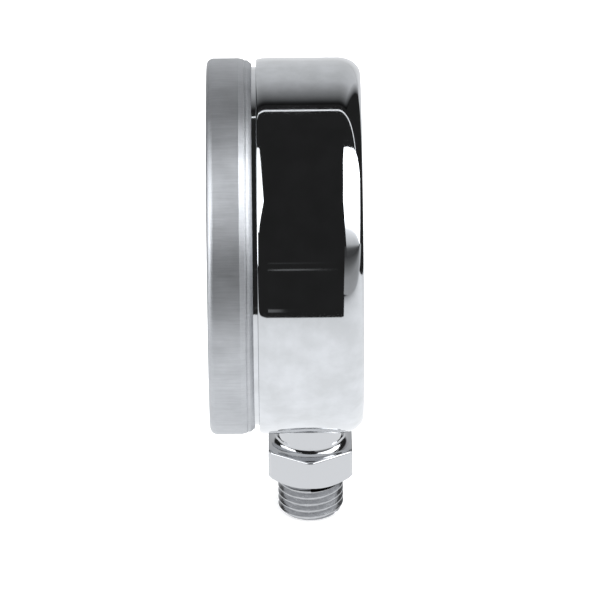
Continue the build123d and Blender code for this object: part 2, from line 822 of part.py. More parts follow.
with BuildPart() as dial:
    with BuildSketch(facing_dial(dial_back_y)):
        Circle(dial_radius)
        Circle(dial_hole_radius, mode=Mode.SUBTRACT)
        with Locations(*dial_post_places):
            Circle(screw_radius, mode=Mode.SUBTRACT)
        with Locations(stop_pin_place):
            Circle(stop_pin_radius, mode=Mode.SUBTRACT)
    extrude(amount=dial_thickness)
write(dial, "dial")

with BuildPart() as stop_pin:
    with BuildSketch(facing_dial(dial_back_y)):
        with Locations(stop_pin_place):
            Circle(stop_pin_radius)
    extrude(amount=dial_thickness + stop_pin_height)
write(stop_pin, "stop_pin")

dial_screws = slotted_screws(
    dial_post_places,
    dial_front_y,
    dial_thickness + screw_depth - end_play,
    screw_radius,
    screw_head_radius,
    screw_head_height,
)
write(dial_screws, "dial_screws")


def along_pointer(distance, sideways):
    """A point given along and beside the pointer as it stands at zero."""
    turned = pointer_start_angle + degrees(atan2(sideways, distance))
    return polar(sqrt(distance**2 + sideways**2), turned)


# Aluminium pointer: a needle that tapers to its tip, a round boss and a counterweight.
with BuildPart() as pointer:
    with BuildSketch(facing_dial(pointer_back_y)):
        Circle(pointer_disc_radius)
        with BuildLine():
            Polyline(
                along_pointer(0, pointer_root_width / 2),
                along_pointer(pointer_length, pointer_tip_width / 2),
                along_pointer(pointer_length, -pointer_tip_width / 2),
                along_pointer(0, -pointer_root_width / 2),
                along_pointer(-pointer_tail, -pointer_tail_width / 2),
                along_pointer(-pointer_tail, pointer_tail_width / 2),
                close=True,
            )
        make_face()
        Circle(hub_spigot_radius, mode=Mode.SUBTRACT)
    extrude(amount=pointer_thickness)
write(pointer, "pointer")

# Brass hub riveted in the pointer and pushed onto the arbor's end.
with BuildPart() as pointer_hub:
    with BuildSketch(facing_dial(pointer_back_y + hub_flange_thickness)):
        Circle(hub_flange_radius)
    extrude(amount=hub_flange_thickness)
    with BuildSketch(facing_dial(pointer_back_y)):
        Circle(hub_spigot_radius)
    extrude(amount=pointer_thickness)
    with BuildSketch(facing_dial(pointer_front_y)):
        Circle(hub_flange_radius)
    extrude(amount=hub_head_height)
    with BuildSketch(facing_dial(pointer_back_y + hub_flange_thickness)):
        Circle(pointer_arbor_radius)
    extrude(amount=hub_flange_thickness + pointer_thickness + hub_head_height, mode=Mode.SUBTRACT)
write(pointer_hub, "pointer_hub")
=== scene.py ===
import bpy
import bmesh
from math import cos, pi, radians, sin
from mathutils import Matrix, Quaternion, Vector


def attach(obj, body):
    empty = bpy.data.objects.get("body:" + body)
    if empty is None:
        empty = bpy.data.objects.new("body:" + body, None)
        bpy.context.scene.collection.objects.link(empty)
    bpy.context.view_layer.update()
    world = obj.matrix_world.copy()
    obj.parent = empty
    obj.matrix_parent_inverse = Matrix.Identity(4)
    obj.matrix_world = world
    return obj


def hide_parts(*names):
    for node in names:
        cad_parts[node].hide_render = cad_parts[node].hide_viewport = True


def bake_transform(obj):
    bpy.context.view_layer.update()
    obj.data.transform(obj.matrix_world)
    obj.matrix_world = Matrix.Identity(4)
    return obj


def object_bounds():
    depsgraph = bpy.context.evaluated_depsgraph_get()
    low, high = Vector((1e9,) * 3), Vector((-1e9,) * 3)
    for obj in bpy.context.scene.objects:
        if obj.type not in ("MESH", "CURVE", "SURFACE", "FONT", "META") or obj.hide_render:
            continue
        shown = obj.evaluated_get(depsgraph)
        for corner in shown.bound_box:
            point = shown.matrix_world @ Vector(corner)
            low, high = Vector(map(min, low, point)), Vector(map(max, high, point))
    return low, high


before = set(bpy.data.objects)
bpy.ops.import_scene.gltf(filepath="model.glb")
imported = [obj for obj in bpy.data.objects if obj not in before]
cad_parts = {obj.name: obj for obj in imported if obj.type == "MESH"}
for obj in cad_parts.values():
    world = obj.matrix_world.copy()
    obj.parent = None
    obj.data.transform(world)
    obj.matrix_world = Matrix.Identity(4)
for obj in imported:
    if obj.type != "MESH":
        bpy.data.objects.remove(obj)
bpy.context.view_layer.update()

# A 63 mm Bourdon tube pressure gauge. Meshes are drawn in millimetres and scaled to metres as each
# piece is placed. The dial faces -Y and the stem's thread points down.

# ---- Socket ------------------------------------------------------------------------------------
# One turned and milled piece of stainless steel: threaded stem, hexagon, round shank, and the block
# inside the case. Its outside is polished and its edges are lightly broken; the thread is as cut.


def colour(code):
    """A colour from its sRGB hex code, in linear light."""
    parts = [int(code[i : i + 2], 16) / 255 for i in (1, 3, 5)]
    return [p / 12.92 if p <= 0.04045 else ((p + 0.055) / 1.055) ** 2.4 for p in parts] + [1.0]


def blank(name):
    """An empty material of that name."""
    made = bpy.data.materials.new(name)
    made.use_nodes = True
    made.node_tree.nodes.clear()
    return made


def add(owner, kind, inputs=None, **properties):
    """Adds a node to a material or world; each input is given a value or a socket to link from."""
    node = owner.node_tree.nodes.new("ShaderNode" + kind)
    for name, value in properties.items():
        setattr(node, name, value)
    for name, value in (inputs or {}).items():
        if isinstance(value, bpy.types.NodeSocket):
            owner.node_tree.links.new(value, node.inputs[name])
        else:
            node.inputs[name].default_value = value
    return node


def every(millimetres):
    """The scale of a noise whose grains lie that far apart."""
    return 1000 / millimetres


def copy_of(node, easing=0.0):
    """A CAD node's mesh in millimetres, with its flat faces whole again and its edges broken."""
    shape = bmesh.new()
    shape.from_mesh(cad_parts[node].data)
    bmesh.ops.scale(shape, vec=(1000, 1000, 1000), verts=shape.verts)
    bmesh.ops.remove_doubles(shape, verts=shape.verts, dist=touch)
    bmesh.ops.dissolve_limit(
        shape, angle_limit=radians(0.5), verts=shape.verts, edges=shape.edges
    )
    if easing:
        break_edges(shape, shape.edges, easing)
    return shape


def break_edges(shape, edges, width):
    """Bevels the outward corners among some edges of a shape."""
    corners = [e for e in edges if e.is_convex and e.calc_face_angle(0) > radians(40)]
    bmesh.ops.bevel(
        shape,
        geom=corners,
        offset=width,
        affect="EDGES",
        segments=2,
        profile=0.5,
        material=-1,
        clamp_overlap=True,
    )


def join(shape, other):
    """Adds another shape to a shape, as separate shells."""
    carrier = bpy.data.meshes.new("carrier")
    other.to_mesh(carrier)
    other.free()
    shape.from_mesh(carrier)
    bpy.data.meshes.remove(carrier)


def face_outwards(shape):
    """Turns the faces of a shape that runs round the stem's axis away from that axis."""
    bmesh.ops.recalc_face_normals(shape, faces=shape.faces)
    if sum(f.normal.xy.dot(f.calc_center_median().xy) for f in shape.faces) < 0:
        bmesh.ops.reverse_faces(shape, faces=shape.faces)


def place(name, shape, materials, body, slot, *stands_for, sharp=35):
    """Makes the finished piece from a shape in millimetres, smooth except at its sharp edges.

    With no body the piece rides on nothing.
    """
    shape.normal_update()
    for face in shape.faces:
        face.smooth = True
    for edge in shape.edges:
        edge.smooth = edge.calc_face_angle(0) < radians(sharp)
    bmesh.ops.scale(shape, vec=(0.001, 0.001, 0.001), verts=shape.verts)
    mesh = bpy.data.meshes.new(name)
    shape.to_mesh(mesh)
    shape.free()
    piece = bpy.data.objects.new(name, mesh)
    bpy.context.scene.collection.objects.link(piece)
    for material in materials:
        mesh.materials.append(material)
    even = piece.modifiers.new("even_shading", "WEIGHTED_NORMAL")
    even.keep_sharp = True
    if body:
        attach(piece, body)
    if stands_for:
        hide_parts(*stands_for)
    return piece


thread_radius = 5.556
thread_pitch = 1.27  # twenty threads to the inch
thread_depth = 0.78
thread_turns = 7
runout = 0.965  # from the hexagon down to the middle of the last crest
stem_length = 7.0
end_radius = 4.856
hexagon_height = 5.9
flat_distance = 7.144  # from the axis to the hexagon's flats
underside_edge = 0.14
shank_radius, shoulder = 7.1, 11.55
steps_per_turn = 64
touch = 0.001

# Polished stainless steel: a mirror with the faintest haze from its last buffing.
polished_steel = blank("polished_stainless_steel")
where = add(polished_steel, "TexCoord").outputs["Object"]
haze = add(polished_steel, "TexNoise", {"Vector": where, "Scale": every(2.5), "Detail": 3.0})
gloss = add(
    polished_steel, "MapRange", {"Value": haze.outputs["Fac"], "To Min": 0.05, "To Max": 0.14}
)
metal = add(
    polished_steel,
    "BsdfPrincipled",
    {"Base Color": colour("#c8c9cb"), "Metallic": 1.0, "Roughness": gloss.outputs["Result"]},
)
add(polished_steel, "OutputMaterial", {"Surface": metal.outputs["BSDF"]})

# Stainless steel as the threading die leaves it: torn, grey and half dull. The tears run round the
# stem, 1.11 mm long and a sixth of that apart, coarser than the real ones, so that they show.
cut_steel = blank("die_cut_stainless_steel")
where = add(cut_steel, "TexCoord").outputs["Object"]
run = add(cut_steel, "Mapping", {"Vector": where, "Scale": (1.0, 1.0, 6.0)})
tears = add(
    cut_steel, "TexNoise", {"Vector": run.outputs["Vector"], "Scale": every(1.11), "Detail": 4.0}
)
tone = add(
    cut_steel,
    "MixRGB",
    {"Fac": tears.outputs["Fac"], "Color1": colour("#9b9c9e"), "Color2": colour("#d6d7d9")},
)
gloss = add(cut_steel, "MapRange", {"Value": tears.outputs["Fac"], "To Min": 0.14, "To Max": 0.34})
bumps = add(
    cut_steel, "Bump", {"Height": tears.outputs["Fac"], "Strength": 0.25, "Distance": 0.00005}
)
metal = add(
    cut_steel,
    "BsdfPrincipled",
    {
        "Base Color": tone.outputs["Color"],
        "Metallic": 1.0,
        "Roughness": gloss.outputs["Result"],
        "Normal": bumps.outputs["Normal"],
    },
)
add(cut_steel, "OutputMaterial", {"Surface": metal.outputs["BSDF"]})

# The plain stem is taken off, to be threaded below, and the hexagon's chamfer is lightly broken.
socket = copy_of("socket")
stem_skin = [
    face
    for face in socket.faces
    if all(v.co.z < touch and v.co.xy.length > end_radius - 0.01 for v in face.verts)
    and any(v.co.z < -touch for v in face.verts)
]
bmesh.ops.delete(socket, geom=stem_skin, context="FACES")
chamfer_edges = [
    edge
    for edge in socket.edges
    if len(edge.link_faces) == 2
    and all(-touch < v.co.z < hexagon_height / 2 for v in edge.verts)
    and all(v.co.xy.length > shank_radius + 0.01 for v in edge.verts)
]
break_edges(socket, chamfer_edges, underside_edge)

# The hexagon's top edges are rounded, which lifts its top 0.3 mm. It is closed in to under the
# waist's foot.
hexagon_top, edge_round = hexagon_height + 0.3, 0.35
ledge = [f for f in socket.faces if all(abs(v.co.z - hexagon_height) < 0.01 for v in f.verts)]
bmesh.ops.delete(socket, geom=ledge, context="FACES")
open_edges = [
    edge
    for edge in socket.edges
    if edge.is_boundary and all(abs(v.co.z - hexagon_height) < 0.01 for v in edge.verts)
]
rim = [e for e in open_edges if all(v.co.xy.length > shank_radius + 0.02 for v in e.verts)]
for v in {v for edge in open_edges if edge not in rim for v in edge.verts}:
    v.co.z = shoulder
for v in {v for edge in rim for v in edge.verts}:
    v.co.z = hexagon_top - edge_round
tilts = [radians(22.5 * k) for k in (1, 2, 3, 4)]
levels = [(edge_round * (1 - cos(a)), hexagon_top - edge_round * (1 - sin(a))) for a in tilts]
under_the_waist = (2.0, hexagon_top)
inset = 0.0
for next_inset, level in levels + [under_the_waist]:
    grown = bmesh.ops.extrude_edge_only(socket, edges=rim)["geom"]
    rim = [piece for piece in grown if isinstance(piece, bmesh.types.BMEdge)]
    for v in [piece for piece in grown if isinstance(piece, bmesh.types.BMVert)]:
        v.co.xy *= (flat_distance - next_inset) / (flat_distance - inset)
        v.co.z = level
    inset = next_inset

# The shank under the case is turned down to a waist, with a round at each end.
waist_radius, foot_round, shoulder_round = 5.5, 1.3, 1.2
quarter = [radians(9 * k) for k in range(11)]
waist_outline = [(shank_radius, shoulder)]
waist_outline += [
    (waist_radius + shoulder_round * (1 - cos(a)), shoulder - shoulder_round * (1 - sin(a)))
    for a in reversed(quarter)
]
waist_outline += [
    (waist_radius + foot_round * (1 - cos(a)), hexagon_top + foot_round * (1 - sin(a)))
    for a in quarter
]
waist = bmesh.new()
points = [waist.verts.new((radius, 0, height)) for radius, height in waist_outline]
edges = [waist.edges.new(pair) for pair in zip(points, points[1:])]
bmesh.ops.spin(
    waist,
    geom=points + edges,
    cent=(0, 0, 0),
    axis=(0, 0, 1),
    angle=2 * pi,
    steps=2 * steps_per_turn,
    use_merge=True,
)
face_outwards(waist)
join(socket, waist)

# The thread: one pitch of its outline, wound up the stem, then trimmed at both ends and chamfered.
thread = bmesh.new()
crest, root = thread_pitch / 8, thread_pitch / 4
flank = (thread_pitch - crest - root) / 2
thread_outline = [(0, 1.0), (crest, 1.0)]
thread_outline += [(crest + flank * k / 4, 1.0 - k / 4) for k in (1, 2, 3, 4)]
thread_outline += [(crest + flank + root, 0.0)]
thread_outline += [(crest + flank + root + flank * k / 4, k / 4) for k in (1, 2, 3, 4)]
thread_start = -runout - thread_turns * thread_pitch - crest / 2
points = [
    thread.verts.new((thread_radius - thread_depth * (1 - height), 0, thread_start + along))
    for along, height in thread_outline
]
edges = [thread.edges.new(pair) for pair in zip(points, points[1:])]
bmesh.ops.spin(
    thread,
    geom=points + edges,
    cent=(0, 0, 0),
    axis=(0, 0, 1),
    dvec=(0, 0, thread_pitch / steps_per_turn),
    angle=2 * pi * thread_turns,
    steps=steps_per_turn * thread_turns,
)
bmesh.ops.remove_doubles(thread, verts=thread.verts, dist=touch / 2)
for height, normal in ((-stem_length, -1), (0.0, 1)):
    bmesh.ops.bisect_plane(
        thread,
        geom=thread.verts[:] + thread.edges[:] + thread.faces[:],
        plane_co=(0, 0, height),
        plane_no=(0, 0, normal),
        clear_outer=True,
    )
for v in thread.verts:
    reach = end_radius + v.co.z + stem_length
    if v.co.xy.length > reach:
        v.co.xy *= reach / v.co.xy.length
face_outwards(thread)
for face in thread.faces:
    face.material_index = 1
join(socket, thread)
skins = [polished_steel, cut_steel]
place("socket_body", socket, skins, "housing", "polished_stainless", "socket")

# ---- Case --------------------------------------------------------------------------------------
# Deep-drawn cup of stainless steel sheet, buffed to a mirror. Its mouth is rolled in to a neck with
# three bayonet slots, which the ring locks onto, and a hole in its back takes the blow-out plug.
dial_height = 44.0
case_radius = 31.5
neck_radius = 30.0
case_wall = 1.2
case_front, case_back = -8.55, 8.9
plug_radius = 5.0
plug_height = 12.0  # above the dial's centre
back_joint_radius = 20.0  # where the turned wall meets the flat of the back
around = 256


def turned(profile, turn=360.0, start=0.0, height=dial_height, steps=around, closed=True):
    """An outline of (depth, radius) points turned about an axis along Y, clockwise from behind."""
    shape = bmesh.new()
    verts = [shape.verts.new((0, depth, height + radius)) for depth, radius in profile]
    pairs = zip(verts, verts[1:] + verts[:1] if closed else verts[1:])
    edges = [shape.edges.new(pair) for pair in pairs]
    bmesh.ops.rotate(
        shape, cent=(0, 0, height), matrix=Matrix.Rotation(radians(start), 3, "Y"), verts=verts
    )
    bmesh.ops.spin(
        shape,
        geom=verts + edges,
        cent=(0, 0, height),
        axis=(0, 1, 0),
        angle=radians(turn),
        steps=steps,
        use_merge=turn == 360.0,
    )
    bmesh.ops.remove_doubles(shape, verts=shape.verts, dist=0.0001)
    bmesh.ops.recalc_face_normals(shape, faces=shape.faces)
    return shape


def rounded(centre, size, start, turn, segments=8):
    """Points of a round edge in a turned outline; size is its two half widths, along and out."""
    angles = [radians(start + turn * k / segments) for k in range(segments + 1)]
    return [(centre[0] + size[0] * cos(a), centre[1] + size[1] * sin(a)) for a in angles]


def on_plug_axis(depth):
    """Where a round drawn in XY goes to lie about the plug's axis at a depth."""
    return Matrix.Translation((0, depth, dial_height + plug_height)) @ Matrix.Rotation(
        radians(90), 4, "X"
    )


# Buffed stainless steel sheet: a mirror with slow waves 15 mm apart where the sheet was drawn, and
# faint clouds 4 mm across that the buff leaves.
mirror_steel = blank("buffed_stainless_sheet")
where = add(mirror_steel, "TexCoord").outputs["Object"]
ripple = add(mirror_steel, "TexNoise", {"Vector": where, "Scale": every(15.4), "Detail": 1.0})
bumps = add(
    mirror_steel, "Bump", {"Height": ripple.outputs["Fac"], "Strength": 0.02, "Distance": 0.001}
)
haze = add(mirror_steel, "TexNoise", {"Vector": where, "Scale": every(4.0), "Detail": 4.0})
gloss = add(
    mirror_steel, "MapRange", {"Value": haze.outputs["Fac"], "To Min": 0.02, "To Max": 0.07}
)
clouds = add(
    mirror_steel, "MapRange", {"Value": haze.outputs["Fac"], "From Min": 0.35, "From Max": 0.65}
)
tone = add(
    mirror_steel,
    "MixRGB",
    {"Fac": clouds.outputs["Result"], "Color1": colour("#cdcfd1"), "Color2": colour("#d9dbde")},
)
metal = add(
    mirror_steel,
    "BsdfPrincipled",
    {
        "Base Color": tone.outputs["Color"],
        "Metallic": 1.0,
        "Roughness": gloss.outputs["Result"],
        "Normal": bumps.outputs["Normal"],
    },
)
add(mirror_steel, "OutputMaterial", {"Surface": metal.outputs["BSDF"]})

# The neck with its slots, without the rest of the cup.
case = copy_of("case")
cup = [
    face
    for face in case.faces
    if any(
        v.co.y > case_front + case_wall + 0.01
        or Vector((v.co.x, v.co.z - dial_height)).length > neck_radius + 0.01
        for v in face.verts
    )
]
bmesh.ops.delete(case, geom=cup, context="FACES")

# The body: its front edge curls in slightly, and its back corner is wider than it is deep.
corner_width, corner_depth = 4.0, 2.85
curl_length, curl, mouth_round = 1.75, 0.16, 0.3
curl_start = 0.25  # how far back the mouth's round reaches
mouth = (case_front + mouth_round, case_radius - curl - mouth_round)
body_profile = [(case_front, neck_radius)]
body_profile += rounded(mouth, (mouth_round, mouth_round), 180, -75, 5)
for k in range(1, 9):
    along = case_front + curl_start + (curl_length - curl_start) * k / 8
    body_profile += [(along, case_radius - curl * (1 - k / 8) ** 2)]
corner = (case_back - corner_width, case_radius - corner_depth)
body_profile += rounded(corner, (corner_width, corner_depth), 90, -90, 16)
body_profile += [(case_back, back_joint_radius)]
body = turned(body_profile, closed=False)
inner_size = (corner_width - case_wall, corner_depth - case_wall)
inner_profile = [(case_back - case_wall, back_joint_radius)]
inner_profile += rounded(corner, inner_size, 0, 90, 8)
inner_profile += [
    (case_front + case_wall, case_radius - case_wall),
    (case_front + case_wall, neck_radius - case_wall),
]
lining = turned(inner_profile, closed=False)

# The back: a flat disc in each skin, from the cup's wall in to the plug's hole.
for shape, depth, facing in ((body, case_back, 1), (lining, case_back - case_wall, -1)):
    rim = [e for e in shape.edges if e.is_boundary and all(v.co.y > depth - touch for v in e.verts)]
    hole = bmesh.ops.create_circle(
        shape, segments=around, radius=plug_radius, matrix=on_plug_axis(depth)
    )
    hole_edges = list({e for v in hole["verts"] for e in v.link_edges})
    bmesh.ops.bridge_loops(shape, edges=rim + hole_edges)
    bmesh.ops.recalc_face_normals(shape, faces=shape.faces)
    flat = [face for face in shape.faces if face.calc_center_median().y > depth - 0.01]
    if facing * sum(face.normal.y * face.calc_area() for face in flat) < 0:
        bmesh.ops.reverse_faces(shape, faces=shape.faces)
bore = bmesh.new()
bmesh.ops.create_cone(
    bore,
    segments=around,
    radius1=plug_radius,
    radius2=plug_radius,
    depth=case_wall,
    matrix=on_plug_axis(case_back - case_wall / 2),
)
bmesh.ops.reverse_faces(bore, faces=bore.faces)
join(body, lining)
join(body, bore)
bmesh.ops.remove_doubles(body, verts=body.verts, dist=0.01)
join(case, body)
place("case_shell", case, [mirror_steel], "housing", "polished_stainless", "case", sharp=25)

# ---- Weld --------------------------------------------------------------------------------------
# A bead of weld metal laid round the shank where it leaves the case, bright and rippled as the
# torch moved round.

# TIG weld in stainless steel: satin, with ripples 0.625 mm apart and a faint straw tint.
weld_metal = blank("tig_weld_stainless_steel")
where = add(weld_metal, "TexCoord").outputs["Object"]
puddle = add(weld_metal, "TexNoise", {"Vector": where, "Scale": every(0.625), "Detail": 2.0})
tint = add(
    weld_metal,
    "MixRGB",
    {"Fac": puddle.outputs["Fac"], "Color1": colour("#b9b4aa"), "Color2": colour("#d8d9da")},
)
bumps = add(
    weld_metal, "Bump", {"Height": puddle.outputs["Fac"], "Strength": 0.5, "Distance": 0.0001}
)
metal = add(
    weld_metal,
    "BsdfPrincipled",
    {
        "Base Color": tint.outputs["Color"],
        "Metallic": 1.0,
        "Roughness": 0.22,
        "Normal": bumps.outputs["Normal"],
    },
)
add(weld_metal, "OutputMaterial", {"Surface": metal.outputs["BSDF"]})


def finish_node(node, material):
    """Gives a CAD node that keeps its own shape its material."""
    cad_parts[node].material_slots[0].material = material


finish_node("weld_bead", weld_metal)

# ---- Blow-out plug -----------------------------------------------------------------------------
# Moulded nitrile rubber disc pressed into the case's back, its flange inside. It has a shallow
# moulded groove and the small nib where the rubber was fed in.
plug_face = case_back - 0.15
plug_round = 0.3
flange_radius, flange_front, flange_edge = 6.2, 6.9, 0.2
groove_outside, groove_inside, groove_flank, groove_depth = 3.9, 3.1, 0.2, 0.25
nib_radius, nib_height, nib_taper = 0.55, 0.12, 0.1

# Nitrile rubber: deep grey-black and matt, with the fine grain of its mould and a little bloom.
rubber = blank("moulded_nitrile_rubber")
where = add(rubber, "TexCoord").outputs["Object"]
grain = add(rubber, "TexNoise", {"Vector": where, "Scale": every(0.333), "Detail": 3.0})
bloom = add(rubber, "TexNoise", {"Vector": where, "Scale": every(8.33), "Detail": 2.0})
tone = add(
    rubber,
    "MixRGB",
    {"Fac": bloom.outputs["Fac"], "Color1": colour("#161617"), "Color2": colour("#2b2b2c")},
)
bumps = add(rubber, "Bump", {"Height": grain.outputs["Fac"], "Strength": 0.3, "Distance": 0.00003})
moulded = add(
    rubber,
    "BsdfPrincipled",
    {"Base Color": tone.outputs["Color"], "Roughness": 0.62, "Normal": bumps.outputs["Normal"]},
)
add(rubber, "OutputMaterial", {"Surface": moulded.outputs["BSDF"]})

plug_profile = [(flange_front, 0.0), (flange_front, flange_radius - flange_edge)]
plug_profile += [(flange_front + flange_edge, flange_radius)]
plug_profile += [(case_back - case_wall, flange_radius), (case_back - case_wall, plug_radius)]
face_corner = (plug_face - plug_round, plug_radius - plug_round)
plug_profile += rounded(face_corner, (plug_round, plug_round), 90, -90, 5)
groove_floor = plug_face - groove_depth
plug_profile += [(plug_face, groove_outside), (groove_floor, groove_outside - groove_flank)]
plug_profile += [(groove_floor, groove_inside + groove_flank), (plug_face, groove_inside)]
plug_profile += [(plug_face, nib_radius), (plug_face + nib_height, nib_radius - nib_taper)]
plug_profile += [(plug_face + nib_height, 0.0)]
plug = turned(plug_profile, height=dial_height + plug_height, steps=96, closed=False)
place("blow_out_plug_disc", plug, [rubber], "housing", "black_rubber", "blow_out_plug")

# ---- Restrictor --------------------------------------------------------------------------------
# Small slotted brass screw in the stem's bore. The fine hole through it damps pressure shocks.

# Free-cutting brass, turned: warm yellow, with fine tool marks and slight dulling in patches.
turned_brass = blank("turned_brass")
where = add(turned_brass, "TexCoord").outputs["Object"]
patches = add(turned_brass, "TexNoise", {"Vector": where, "Scale": every(2.86), "Detail": 3.0})
tone = add(
    turned_brass,
    "MixRGB",
    {"Fac": patches.outputs["Fac"], "Color1": colour("#b9924a"), "Color2": colour("#e0bf74")},
)
gloss = add(
    turned_brass, "MapRange", {"Value": patches.outputs["Fac"], "To Min": 0.18, "To Max": 0.34}
)
marks = add(turned_brass, "TexNoise", {"Vector": where, "Scale": every(0.167), "Detail": 2.0})
bumps = add(
    turned_brass, "Bump", {"Height": marks.outputs["Fac"], "Strength": 0.15, "Distance": 0.00002}
)
metal = add(
    turned_brass,
    "BsdfPrincipled",
    {
        "Base Color": tone.outputs["Color"],
        "Metallic": 1.0,
        "Roughness": gloss.outputs["Result"],
        "Normal": bumps.outputs["Normal"],
    },
)
add(turned_brass, "OutputMaterial", {"Surface": metal.outputs["BSDF"]})
finish_node("restrictor_screw", turned_brass)

# ---- Bourdon tube ------------------------------------------------------------------------------
# Flattened phosphor bronze tube bent to an open circle. Its start is brazed into the socket's
# block, and a brass cap with a lug closes its free end, which swings as pressure opens the circle.
tube_radius = 21.0
tube_width, tube_thickness, tube_wall = 7.0, 2.8, 0.45
tube_start, tube_sweep = 268.0, 283.0  # clockwise from the start, as the dial is read

# Drawn phosphor bronze: coppery, with long fine draw lines 0.3 mm apart, and a darker bloom low
# down, from the brazing.
bronze = blank("drawn_phosphor_bronze")
where = add(bronze, "TexCoord").outputs["Object"]
run = add(bronze, "Mapping", {"Vector": where, "Scale": (1.0, 12.0, 1.0)})
lines = add(
    bronze, "TexNoise", {"Vector": run.outputs["Vector"], "Scale": every(3.33), "Detail": 4.0}
)
stain = add(bronze, "TexNoise", {"Vector": where, "Scale": every(14.3), "Detail": 2.0})
tone = add(
    bronze,
    "MixRGB",
    {"Fac": lines.outputs["Fac"], "Color1": colour("#a8683c"), "Color2": colour("#d79a68")},
)
height = add(bronze, "SeparateXYZ", {"Vector": where}).outputs["Z"]
heat = add(
    bronze,
    "MapRange",
    {"Value": height, "From Min": 0.021, "From Max": 0.032, "To Min": 0.75, "To Max": 0.0},
)
spread = add(
    bronze, "Math", {0: heat.outputs["Result"], 1: stain.outputs["Fac"]}, operation="MULTIPLY"
)
tinted = add(
    bronze,
    "MixRGB",
    {"Fac": spread.outputs["Value"], "Color1": tone.outputs["Color"], "Color2": colour("#5d4438")},
)
bumps = add(bronze, "Bump", {"Height": lines.outputs["Fac"], "Strength": 0.2, "Distance": 0.00005})
metal = add(
    bronze,
    "BsdfPrincipled",
    {
        "Base Color": tinted.outputs["Color"],
        "Metallic": 1.0,
        "Roughness": 0.3,
        "Normal": bumps.outputs["Normal"],
    },
)
add(bronze, "OutputMaterial", {"Surface": metal.outputs["BSDF"]})

tube = bmesh.new()
for shrink in (0.0, tube_wall):
    half = tube_thickness / 2 - shrink
    end_centre = tube_width / 2 - tube_thickness / 2
    oval = rounded((end_centre, tube_radius), (half, half), -90, 180, 8)
    oval += rounded((-end_centre, tube_radius), (half, half), 90, 180, 8)
    skin = turned(oval, turn=tube_sweep, start=90.0 - tube_start, steps=120)
    if shrink:
        bmesh.ops.reverse_faces(skin, faces=skin.faces)
    join(tube, skin)
for above in (False, True):
    end_edges = [
        edge
        for edge in tube.edges
        if edge.is_boundary and (edge.verts[0].co.z > dial_height - tube_radius / 2) == above
    ]
    bmesh.ops.bridge_loops(tube, edges=end_edges)
bourdon = place("tube_of_bronze", tube, [bronze], None, "bronze", "bourdon_tube")
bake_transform(bourdon)

place("tip_cap", copy_of("tube_tip", 0.12), [turned_brass], "tip", "brass", "tube_tip")

# Ground steel for pins and arbors: cool grey and bright, with fine grinding marks round them.
steel = blank("ground_steel")
where = add(steel, "TexCoord").outputs["Object"]
run = add(steel, "Mapping", {"Vector": where, "Scale": (1.0, 10.0, 1.0)})
marks = add(
    steel, "TexNoise", {"Vector": run.outputs["Vector"], "Scale": every(0.667), "Detail": 3.0}
)
tone = add(
    steel,
    "MixRGB",
    {"Fac": marks.outputs["Fac"], "Color1": colour("#8f9296"), "Color2": colour("#c4c7ca")},
)
gloss = add(steel, "MapRange", {"Value": marks.outputs["Fac"], "To Min": 0.16, "To Max": 0.32})
metal = add(
    steel,
    "BsdfPrincipled",
    {
        "Base Color": tone.outputs["Color"],
        "Metallic": 1.0,
        "Roughness": gloss.outputs["Result"],
    },
)
add(steel, "OutputMaterial", {"Surface": metal.outputs["BSDF"]})
finish_node("tip_pin", steel)

# ---- Movement ----------------------------------------------------------------------------------
# Two brass plates on three turned pillars carry the toothed sector and the pinion. A strip link
# joins the tube's tip to the sector's tail. Slotted steel screws hold the frame together and fix
# it to the socket's block.

# Rolled brass sheet, blanked and straight-grained: paler than turned brass, with lines 5 mm long
# and 0.2 mm apart.
brass_sheet = blank("grained_brass_sheet")
where = add(brass_sheet, "TexCoord").outputs["Object"]
run = add(brass_sheet, "Mapping", {"Vector": where, "Scale": (1.0, 25.0, 25.0)})
lines = add(
    brass_sheet, "TexNoise", {"Vector": run.outputs["Vector"], "Scale": every(5.0), "Detail": 3.0}
)
tone = add(
    brass_sheet,
    "MixRGB",
    {"Fac": lines.outputs["Fac"], "Color1": colour("#b8954f"), "Color2": colour("#e2c684")},
)
gloss = add(
    brass_sheet, "MapRange", {"Value": lines.outputs["Fac"], "To Min": 0.24, "To Max": 0.38}
)
bumps = add(
    brass_sheet, "Bump", {"Height": lines.outputs["Fac"], "Strength": 0.15, "Distance": 0.00002}
)
metal = add(
    brass_sheet,
    "BsdfPrincipled",
    {
        "Base Color": tone.outputs["Color"],
        "Metallic": 1.0,
        "Roughness": gloss.outputs["Result"],
        "Normal": bumps.outputs["Normal"],
    },
)
add(brass_sheet, "OutputMaterial", {"Surface": metal.outputs["BSDF"]})

for node, easing, material, body, slot in (
    ("movement_back_plate", 0.08, brass_sheet, "housing", "brass"),
    ("movement_front_plate", 0.08, brass_sheet, "housing", "brass"),
    ("movement_plate_screws", 0.05, steel, "housing", "steel"),
    ("movement_mount_screws", 0.08, steel, "housing", "steel"),
    ("sector_gear", 0.02, brass_sheet, "sector", "brass"),
    ("link", 0.05, brass_sheet, "link", "brass"),
):
    place(node + "_eased", copy_of(node, easing), [material], body, slot, node)
finish_node("movement_pillars", turned_brass)
for node in ("sector_arbor", "tail_pin", "pinion"):
    finish_node(node, steel)

# ---- Hairspring --------------------------------------------------------------------------------
# Flat spiral of rolled bronze strip that takes up the backlash. Its inner end is pinned in a brass
# collet on the pinion's arbor, and its outer end in a stud on the front plate.
finish_node("hairspring", bronze)
finish_node("hairspring_stud", turned_brass)

